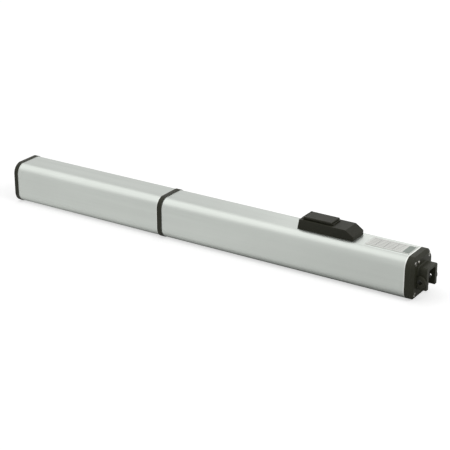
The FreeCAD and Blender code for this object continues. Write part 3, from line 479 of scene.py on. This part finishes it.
@dataclass(frozen=True)
class CastSkin(Finish):
    """Painted or bare casting with a fine skin and worn edges.

    Attributes:
        worn: Colour of a worn edge.
        wear_and_highlight_width: Width of a worn edge.
        wear_and_highlight: Share of the worn edges that shows.
    """

    grain_scale: float = 900.0
    patch_scale: float = 35.0
    patch_span: Span = (0.35, 0.65)
    shades: Span = (0.85, 1.15)
    depth: float = 0.06 * MM
    worn: Colour = (0.2, 0.19, 0.17)
    wear_and_highlight_width: float = 0.7 * MM
    wear_and_highlight: float = 0.35

    def dress(self, coat: Coat) -> None:
        """Add the skin, slow patches and worn edges.

        Args:
            coat: The material in the making.
        """
        height, patches = self.grain(coat)
        mask = coat.edge_wear_and_highlight(self.wear_and_highlight_width, self.wear_and_highlight)
        coat.feed("Base Color", coat.sheet.tint(mask, self.shaded(coat, patches), self.worn))
        coat.feed("Roughness", self.matted(coat, height))
        coat.bump(height, self.depth)


@dataclass(frozen=True)
class Moulding(Finish):
    """Plastic moulding with an eroded grain, and slightly polished edges with a painted highlight.

    Attributes:
        cell_scale: Scale of the eroded grain.
        wear_and_highlight_width: Width of a polished edge with its painted highlight.
        wear_and_highlight: Share of the polished edges that shows.
        wear_and_highlight_shade: Factor on the colour at a polished edge, a painted highlight.
        polish: Roughness that it loses there.
    """

    grain_scale: float = 1500.0
    patch_scale: float = 25.0
    patch_span: Span = (0.3, 0.7)
    shades: Span = (0.9, 1.12)
    depth: float = 0.04 * MM
    cell_scale: float = 1400.0
    wear_and_highlight_width: float = 0.9 * MM
    wear_and_highlight: float = 0.7
    wear_and_highlight_shade: float = 3.2
    polish: float = 0.2

    def dress(self, coat: Coat) -> None:
        """Add the eroded grain, and the polish and painted highlight of handled edges.

        Args:
            coat: The material in the making.
        """
        sheet = coat.sheet
        height, patches = self.grain(coat)
        cells = sheet.add("ShaderNodeTexVoronoi", {"Vector": sheet.place(), "Scale": self.cell_scale})
        mask = coat.edge_wear_and_highlight(self.wear_and_highlight_width, self.wear_and_highlight)
        # Painted highlight: the polished edges are lightened in colour to stand in for light caught
        # along them.
        colour = sheet.tint(mask, self.shaded(coat, patches), self.shade(self.wear_and_highlight_shade))
        coat.feed("Base Color", colour)
        coat.feed("Roughness", sheet.math("SUBTRACT", self.roughness,
                                          sheet.math("MULTIPLY", mask, self.polish)))
        coat.bump(sheet.math("ADD", cells.outputs["Distance"], height), self.depth)


@dataclass(frozen=True)
class PrintedPlate(Finish):
    """Pale film plate with an empty ruled form and a dark block at one end, and no words.

    Attributes:
        plate: The plate's node.
        ink: Colour of the form's lines.
        ink_cover: How far the ink covers the film.
        block: Colour of the dark block.
        form_along: Ends of the form, as shares of the plate's length.
        form_across: Its sides, as shares of the plate's width.
        block_along: Ends of the block.
        block_across: Its sides.
        rows: Number of rows that the plate's width would hold.
        row_line: Width of a line between rows, as a share of a row.
        columns: Number of columns that the plate's length would hold.
        column_line: Width of a line between columns, as a share of a column.
    """

    grain_scale: float = 2400.0
    patch_scale: float = 60.0
    shades: Span = (0.94, 1.04)
    depth: float = 0.01 * MM
    plate: str = "rating_plate"
    ink: Colour = (0.2, 0.2, 0.19)
    ink_cover: float = 0.75
    block: Colour = (0.22, 0.255, 0.225)
    form_along: Span = (0.05, 0.78)
    form_across: Span = (0.08, 0.92)
    block_along: Span = (0.83, 0.985)
    block_across: Span = (0.05, 0.95)
    rows: float = 6.0
    row_line: float = 0.2
    columns: float = 5.0
    column_line: float = 0.06

    def dress(self, coat: Coat) -> None:
        """Add the film's faint mottle, the ruled form and the end block.

        Args:
            coat: The material in the making.
        """
        sheet = coat.sheet
        height, patches = self.grain(coat)
        low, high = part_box(self.plate)
        along = sheet.span(sheet.along(Axis.X), (low.x, high.x))
        across = sheet.span(sheet.along(Axis.Y), (low.y, high.y))
        lines = sheet.math("MAXIMUM", self.rules(sheet, across, self.rows, self.row_line),
                           self.rules(sheet, along, self.columns, self.column_line))
        ink = sheet.math("MULTIPLY", self.window(sheet, along, self.form_along),
                         self.window(sheet, across, self.form_across), lines, self.ink_cover)
        block = sheet.math("MULTIPLY", self.window(sheet, along, self.block_along),
                           self.window(sheet, across, self.block_across))
        inked = sheet.tint(ink, self.shaded(coat, patches), self.ink)
        coat.feed("Base Color", sheet.tint(block, inked, self.block))
        coat.bump(height, self.depth)

    @staticmethod
    def window(sheet: Sheet, value: Socket, ends: Span) -> Socket:
        """Return 1 between two values and 0 outside them."""
        above = sheet.math("GREATER_THAN", value, ends[0])
        return sheet.math("MULTIPLY", above, sheet.math("LESS_THAN", value, ends[1]))

    @staticmethod
    def rules(sheet: Sheet, value: Socket, count: float, share: float) -> Socket:
        """Return a number of lines spaced evenly, each as wide as a share of its space."""
        phase = sheet.math("FRACT", sheet.math("MULTIPLY", value, count))
        return sheet.math("LESS_THAN", phase, share)


@dataclass(frozen=True)
class Turned(Finish):
    """Turned, ground or drawn metal with tool marks along one axis.

    Attributes:
        axis: The axis that the marks follow each other along.
        mark_scale: Scale of the marks.
        mark_detail: Their detail.
    """

    axis: Axis = Axis.X
    mark_scale: float = 5000.0
    mark_detail: float = 2.0

    def dress(self, coat: Coat) -> None:
        """Add tool marks and a handled tone.

        Args:
            coat: The material in the making.
        """
        sheet = coat.sheet
        values = {"W": sheet.along(self.axis), "Scale": self.mark_scale, "Detail": self.mark_detail}
        marks = sheet.add("ShaderNodeTexNoise", values, noise_dimensions="1D").outputs["Fac"]
        _, patches = self.grain(coat)
        coat.feed("Base Color", self.shaded(coat, patches))
        coat.feed("Roughness", self.matted(coat, marks))
        coat.bump(marks, self.depth)


@dataclass(frozen=True)
class Plated(Finish):
    """Zinc or nickel plating with a slightly warm, cloudy passivation.

    Attributes:
        warm: Colour of the clouds.
        cloud_cover: How far a cloud covers the plating.
    """

    grain_scale: float = 1600.0
    patch_scale: float = 180.0
    patch_span: Span = (0.35, 0.75)
    matting: Span = (-0.05, 0.08)
    depth: float = 0.008 * MM
    warm: Colour = (0.68, 0.62, 0.45)
    cloud_cover: float = 0.45

    def dress(self, coat: Coat) -> None:
        """Add the cloudy tint and fine roughness.

        Args:
            coat: The material in the making.
        """
        height, patches = self.grain(coat)
        cloud = coat.sheet.span(patches, self.patch_span, (0.0, self.cloud_cover))
        coat.feed("Base Color", coat.sheet.tint(cloud, self.colour, self.warm))
        coat.feed("Roughness", self.matted(coat, height))
        coat.bump(height, self.depth)


@dataclass(frozen=True)
class Rubber(Finish):
    """Black seal rubber with a bloom and fine pores."""

    grain_scale: float = 2200.0
    patch_scale: float = 90.0
    shades: Span = (1.0, 2.2)
    depth: float = 0.02 * MM

    def dress(self, coat: Coat) -> None:
        """Add bloom and pores.

        Args:
            coat: The material in the making.
        """
        height, patches = self.grain(coat)
        coat.feed("Base Color", self.shaded(coat, patches))
        coat.bump(height, self.depth)


@dataclass(frozen=True)
class Striped(Finish):
    """Even stripes: stacked laminations, wound wire or woven mesh.

    Attributes:
        axis: The axis that the stripes follow each other along.
        pitch: Distance from one stripe to the next.
        woven_round: Upright round node that carries a second set of stripes round its axis.
        groove: Factor on the colour between the stripes.
        ridge: Values of the wave between which a stripe rises.
        relief: Depth of the bump as a share of the pitch.
    """

    grain_scale: float = 1200.0
    patch_scale: float = 80.0
    shades: Span = (0.85, 1.1)
    axis: Axis = Axis.X
    pitch: float = 0.5 * MM
    woven_round: str = ""
    groove: float = 0.45
    ridge: Span = (-0.6, 0.8)
    relief: float = 0.12

    def dress(self, coat: Coat) -> None:
        """Add the stripes, crossed by a second set for a mesh.

        Args:
            coat: The material in the making.
        """
        sheet = coat.sheet
        height = self.stripes(sheet, sheet.along(self.axis))
        if self.woven_round:
            height = sheet.math("MAXIMUM", height, self.stripes(sheet, self.girth(sheet)))
        _, patches = self.grain(coat)
        colour = sheet.tint(height, self.shade(self.groove), self.shaded(coat, patches))
        coat.feed("Base Color", colour)
        coat.bump(height, self.pitch * self.relief)

    def stripes(self, sheet: Sheet, value: Socket) -> Socket:
        """Return a rounded wave of this finish's pitch."""
        wave = sheet.math("SINE", sheet.math("MULTIPLY", value, 2.0 * math.pi / self.pitch))
        return sheet.span(wave, self.ridge)

    def girth(self, sheet: Sheet) -> Socket:
        """Measure round the wall of the woven node.

        Args:
            sheet: The material's sheet.

        Returns:
            The length along its wall.
        """
        low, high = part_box(self.woven_round)
        middle, radius = (low + high) / 2, (high.y - low.y) / 2
        turn = sheet.math("ARCTAN2", sheet.math("SUBTRACT", sheet.along(Axis.Y), middle.y),
                          sheet.math("SUBTRACT", sheet.along(Axis.X), middle.x))
        return sheet.math("MULTIPLY", turn, radius)


FINISHES: tuple[Finish, ...] = (
    Anodised("anodised_aluminium", (0.50, 0.525, 0.495), 0.38, 1.0),
    CastSkin("dark_casting", (0.0215, 0.0222, 0.0125), 0.55, gloss=0.24),
    Moulding("dark_moulding", (0.0185, 0.0188, 0.0115), 0.53, gloss=0.18),
    PrintedPlate("pale_plate", (0.7, 0.71, 0.67), 0.5),
    Plated("zinc_steel", (0.62, 0.62, 0.6), 0.3, 1.0),
    Moulding("black_nylon", (0.012, 0.012, 0.012), 0.5, gloss=0.4),
    Rubber("black_rubber", (0.016, 0.016, 0.016), 0.7),
    Turned("spindle_steel", (0.5, 0.5, 0.5), 0.3, 1.0, axis=Axis.Z),
    Turned("brass_screw", (0.75, 0.56, 0.26), 0.3, 1.0, axis=Axis.Z),
    CastSkin("block_aluminium", (0.55, 0.56, 0.57), 0.45, 1.0, grain_scale=700.0, depth=0.03 * MM,
             worn=(0.7, 0.7, 0.7)),
    Striped("filter_mesh", (0.5, 0.5, 0.47), 0.4, 1.0, axis=Axis.Z, pitch=0.8 * MM,
            woven_round="suction_filter", groove=0.15),
    Turned("tube_steel", (0.42, 0.42, 0.43), 0.34, 1.0),
    Turned("bronze", (0.56, 0.36, 0.18), 0.42, 1.0),
    Turned("chromed_rod", (0.8, 0.8, 0.82), 0.1, 1.0, mark_scale=7000.0, depth=0.0006 * MM),
    CastSkin("forged_steel", (0.03, 0.03, 0.032), 0.5, grain_scale=600.0, depth=0.08 * MM,
             worn=(0.3, 0.3, 0.3), wear_and_highlight=0.7),
    Turned("bearing_steel", (0.62, 0.62, 0.64), 0.16, 1.0),
    CastSkin("pump_iron", (0.2, 0.2, 0.21), 0.5, 1.0, grain_scale=800.0, depth=0.04 * MM,
             worn=(0.4, 0.4, 0.4), wear_and_highlight=0.5),
    Striped("lamination_steel", (0.3, 0.3, 0.32), 0.42, 1.0),
    Striped("copper_windings", (0.5, 0.2, 0.07), 0.32, 0.6, axis=Axis.Z, pitch=0.9 * MM),
)


def place_in_scene(name: str, data: bpy.types.ID) -> bpy.types.Object:
    """Put a new object in the scene.

    Args:
        name: Name of the object.
        data: Its mesh, lamp or camera.

    Returns:
        The object.
    """
    placed = bpy.data.objects.new(name, data)
    bpy.context.scene.collection.objects.link(placed)
    return placed


@dataclass(frozen=True)
class Softbox:
    """Square lamp that the camera doesn't see.

    Attributes:
        name: Name of the lamp.
        stand: Its place.
        target: The point that it faces.
        size: Length of its side.
        radiance: Brightness of its face, where 1 is white.
    """

    name: str
    stand: Place
    target: Place
    size: float
    radiance: float

    def hang(self) -> None:
        """Hang it in the scene."""
        data = bpy.data.lights.new(self.name, "AREA")
        data.shape = "SQUARE"
        data.size = self.size
        data.energy = self.radiance * math.pi * self.size * self.size
        lamp = place_in_scene(self.name, data)
        lamp.location = self.stand
        lamp.visible_camera = False
        aim = Vector(self.target) - Vector(self.stand)
        lamp.rotation_euler = aim.to_track_quat("-Z", "Y").to_euler()


@dataclass
class Studio:
    """Camera, lamps, world and floor of the studio picture.

    Attributes:
        azimuth: Turn of the camera about the vertical, in degrees.
        elevation: Height from which it looks down, in degrees.
        stand: Its place.
        lens: Its focal length in millimetres.
        sensor: Width of its sensor in millimetres.
        sight: Farthest distance that it sees.
        softboxes: The lamps.
        world_level: Light of the world on the object.
        backdrop_level: Brightness of the backdrop, where 1 is white.
        floor_size: Length of the floor's side.
        floor_tone: Share of the light that the floor gives back.
        glow_span: Distances from the origin between which the floor's own glow rises.
        glow_levels: The glow at both ends of that span.
        strip_span: Places along the opener between which the strip without reflected glow widens.
        That strip is a painted shadow that reflections see under the opener.
        strip_widths: Its width at both ends of that span, against the opener's.
        strip_edge: Shares of its width between which the reflected glow comes back.
        dim_span: Places along the opener between which the reflected glow falls, a painted shade.
        dim_levels: Shares of the glow that are reflected at both ends of that span.
    """

    azimuth: float = 32.79
    elevation: float = 22.46
    stand: Place = (1.0042, -2.2451, 1.1106)
    lens: float = 115.42
    sensor: float = 36.0
    sight: float = 100.0
    softboxes: tuple[Softbox, ...] = (
        Softbox("overhead softbox", (-1.9, -0.4, 2.5), (-0.45, 0.0, 0.0), size=3.3, radiance=0.68),
        Softbox("rear softbox", (-1.0, 2.6, 1.4), (-0.1, 0.0, 0.0), size=1.2, radiance=0.9),
        Softbox("right softbox", (2.0, -0.3, 2.3), (-0.1, 0.0, 0.0), size=1.6, radiance=3.8),
    )
    world_level: float = 0.45
    backdrop_level: float = 1.0
    floor_size: float = 14.0
    floor_tone: float = 0.6
    glow_span: Span = (1.2, 5.0)
    glow_levels: Span = (0.58, 0.73)
    strip_span: Span = (-0.9, 0.0)
    strip_widths: Span = (0.75, 1.15)
    strip_edge: Span = (0.7, 1.4)
    dim_span: Span = (-0.5, 0.1)
    dim_levels: Span = (1.0, 0.6)

    def build(self) -> None:
        """Set up everything that isn't part of the opener."""
        self.set_camera()
        self.set_world()
        self.lay_floor()
        for softbox in self.softboxes:
            softbox.hang()

    def set_camera(self) -> None:
        """Stand the camera where the photograph was taken from."""
        data = bpy.data.cameras.new("photo camera")
        data.lens = self.lens
        data.sensor_width = self.sensor
        data.clip_end = self.sight
        camera = place_in_scene("photo camera", data)
        camera.location = self.stand
        camera.rotation_euler = (math.radians(90.0 - self.elevation), 0.0, math.radians(self.azimuth))
        bpy.context.scene.camera = camera

    @staticmethod
    def seen(sheet: Sheet, reflected: Value = 1.0) -> Socket:
        """Find how much of a glow a ray sees.

        Args:
            sheet: Sheet of the world or of a material.
            reflected: Share that glossy and transmission rays see.

        Returns:
            1 for camera rays, that share for glossy and transmission rays and 0 for the rest.
        """
        path = sheet.add("ShaderNodeLightPath").outputs
        bent = sheet.math("MAXIMUM", path["Is Glossy Ray"], path["Is Transmission Ray"])
        return sheet.math("MAXIMUM", path["Is Camera Ray"], sheet.math("MULTIPLY", bent, reflected))

    def set_world(self) -> None:
        """Light the object from all round and show a white backdrop."""
        world = bpy.data.worlds.new("studio")
        bpy.context.scene.world = world
        world.use_nodes = True
        sheet = Sheet(world.node_tree)
        lift = sheet.math("MULTIPLY", self.seen(sheet), self.backdrop_level - self.world_level)
        level = sheet.math("ADD", lift, self.world_level)
        background = sheet.add("ShaderNodeBackground", {"Color": WHITE, "Strength": level})
        sheet.add("ShaderNodeOutputWorld", {"Surface": background.outputs[0]})

    def lay_floor(self) -> None:
        """Lay a pale floor that touches the lowest edge of the opener."""
        mesh = bpy.data.meshes.new("floor")
        shape = bmesh.new()
        bmesh.ops.create_grid(shape, x_segments=1, y_segments=1, size=self.floor_size / 2)
        bmesh.ops.translate(shape, verts=shape.verts, vec=(0.0, 0.0, CAD_BOX[0].z))
        shape.to_mesh(mesh)
        shape.free()
        mesh.materials.append(self.floor_material())
        floor = place_in_scene("floor", mesh)

    def floor_material(self) -> bpy.types.Material:
        """Build the floor's material, which keeps shadows and adds a glow towards white.

        Returns:
            The material.
        """
        material = bpy.data.materials.new("floor")
        material.use_nodes = True
        sheet = Sheet(material.node_tree)
        diffuse = sheet.add("ShaderNodeBsdfDiffuse", {"Color": (self.floor_tone,) * 3})
        distance = sheet.add("ShaderNodeVectorMath", {0: sheet.place()}, operation="LENGTH")
        level = sheet.span(distance.outputs["Value"], self.glow_span, self.glow_levels)
        glow = sheet.math("MULTIPLY", self.seen(sheet, self.painted_shadow_in_reflections(sheet)), level)
        light = sheet.add("ShaderNodeEmission", {"Color": WHITE, "Strength": glow})
        both = sheet.add("ShaderNodeAddShader", {0: diffuse.outputs[0], 1: light.outputs[0]})
        sheet.add("ShaderNodeOutputMaterial", {"Surface": both.outputs[0]})
        return material

    def painted_shadow_in_reflections(self, sheet: Sheet) -> Socket:
        """Paint a shadow into the floor as reflections see it, under the opener and dimming towards
        its rear.

        Args:
            sheet: The floor's sheet.

        Returns:
            The share of the floor's glow that reflections see.
        """
        # Painted shadow: reflections see no floor glow in a strip under the opener, and a painted
        # shade dims it towards its rear end.
        along = sheet.along(Axis.X)
        width = sheet.span(along, self.strip_span, self.strip_widths)
        reach = sheet.math("DIVIDE", sheet.math("ABSOLUTE", sheet.along(Axis.Y)), width)
        inner, outer = (CAD_BOX[1].y * share for share in self.strip_edge)
        return sheet.math("MULTIPLY", sheet.span(reach, (inner, outer)),
                          sheet.span(along, self.dim_span, self.dim_levels))


@dataclass
class ThickPlates:
    """Front end cap with its countersunk screws, and middle plate, as thick as the photographed ones.

    Attributes:
        cap: Node of the cap.
        screws: Node of the cap's screws.
        plate: Node of the middle plate.
        body: The body that they ride on.
        growth: How far the cap's face and screw heads come forward.
        cap_lip: How far the rim of the cap reaches over the rod cover.
        plate_lip: How far the rim of the middle plate reaches over its gasket and the housing.
        head_zone: Depth from the cap's face that holds the screw heads.
        corner_radius: Radius of the plates' corners.
        wall_zone: Distance from the outer wall within which a point lies on it.
        rim_zone: Distance from the rear side within which a point lies on its rim.
        merging: Distance within which two points are one.
        crease: Angle from which an edge stays crisp.
    """

    cap: str = "front_cap"
    screws: str = "front_cap_screws"
    plate: str = "front_flange"
    body: str = "housing"
    growth: float = 1.8 * MM
    cap_lip: float = 0.9 * MM
    plate_lip: float = 1.8 * MM
    head_zone: float = 4.6 * MM
    corner_radius: float = 23.0 * MM
    wall_zone: float = 0.5 * MM
    rim_zone: float = 0.1 * MM
    merging: float = 0.001 * MM
    crease: float = math.radians(12.0)

    def build(self, slots: dict[str, str], finishes: dict[str, bpy.types.Material]) -> None:
        """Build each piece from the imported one.

        Args:
            slots: Material slot of each node.
            finishes: Material of each slot.
        """
        for node, growth, lip in ((self.cap, self.growth, self.cap_lip),
                                  (self.screws, self.growth, 0.0),
                                  (self.plate, 0.0, self.plate_lip)):
            mesh = self.thicken(node, growth, lip)
            mesh.materials.append(finishes[slots[node]])
            piece = place_in_scene(mesh.name, mesh)
            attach(piece, self.body)
            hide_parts(node)
            LOG.info("%s in %s", piece.name, slots[node])

    def thicken(self, node: str, growth: float, lip: float) -> bpy.types.Mesh:
        """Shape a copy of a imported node's mesh.

        Args:
            node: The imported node.
            growth: How far its face comes forward.
            lip: How far its rim reaches back.

        Returns:
            The new mesh.
        """
        mesh = bpy.data.meshes.new("thick_" + node)
        shape = bmesh.new()
        shape.from_mesh(frame["nodes"][node].data)
        bmesh.ops.remove_doubles(shape, verts=shape.verts, dist=self.merging)
        self.bring_forward(shape, growth)
        self.reach_over(shape, node, lip)
        self.crease_edges(shape)
        shape.to_mesh(mesh)
        shape.free()
        return mesh

    def bring_forward(self, shape: bmesh.types.BMesh, growth: float) -> None:
        """Move the cap's face and the screw heads in it forward.

        Args:
            shape: The mesh to move.
            growth: How far.
        """
        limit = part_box(self.cap)[0].x + self.head_zone
        heads = [vert for vert in shape.verts if vert.co.x < limit]
        bmesh.ops.translate(shape, verts=heads, vec=(-growth, 0.0, 0.0))

    def reach_over(self, shape: bmesh.types.BMesh, node: str, lip: float) -> None:
        """Draw the rim of a plate's rear side over the extrusion behind it.

        Args:
            shape: The mesh to draw out.
            node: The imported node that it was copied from.
            lip: How far.
        """
        low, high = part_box(node)
        middle, half = (low + high) / 2, (high - low) / 2
        outline = [vert for vert in shape.verts if self.on_outline(vert.co - middle, half)]
        if outline:
            rear = max(vert.co.x for vert in outline)
            rim = [vert for vert in outline if vert.co.x > rear - self.rim_zone]
            bmesh.ops.translate(shape, verts=rim, vec=(lip, 0.0, 0.0))

    def on_outline(self, place: Vector, half: Vector) -> bool:
        """Tell whether a point lies on a plate's outer wall and not on a bore.

        Args:
            place: The point, from the plate's middle.
            half: Half of the plate's size.

        Returns:
            True on the outer wall.
        """
        across = max(abs(place.y) - half.y + self.corner_radius, 0.0)
        upward = max(abs(place.z) - half.z + self.corner_radius, 0.0)
        return math.hypot(across, upward) > self.corner_radius - self.wall_zone

    def crease_edges(self, shape: bmesh.types.BMesh) -> None:
        """Shade the walls smooth and keep every edge crisp.

        Args:
            shape: The mesh to shade.
        """
        for face in shape.faces:
            face.smooth = True
        for edge in shape.edges:
            edge.smooth = edge.calc_face_angle(math.pi) < self.crease


@dataclass
class CarriedNodes:
    """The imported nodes, each with the finish of its material slot.

    Attributes:
        slots: Material slot of each node.
        finishes: Material of each slot.
    """

    slots: dict[str, str]
    finishes: dict[str, bpy.types.Material]

    def dress(self) -> None:
        """Give every node its material."""
        for node, slot in self.slots.items():
            materials = frame["nodes"][node].data.materials
            materials.clear()
            materials.append(self.finishes[slot])
            LOG.info("%s in %s", node, slot)


def main() -> None:
    """Build the studio and the opener in order."""
    logging.basicConfig(level=logging.INFO, format="%(message)s")
    bpy.context.scene.view_settings.view_transform = "Standard"
    Studio().build()
    effects = Effects()
    finishes = {finish.slot: finish.material(effects) for finish in FINISHES}
    slots = {part["node"]: part["material_slot"] for part in frame["record"]["subparts"]}
    CarriedNodes(slots, finishes).dress()
    ThickPlates().build(slots, finishes)


if __name__ == "__main__":
    main()
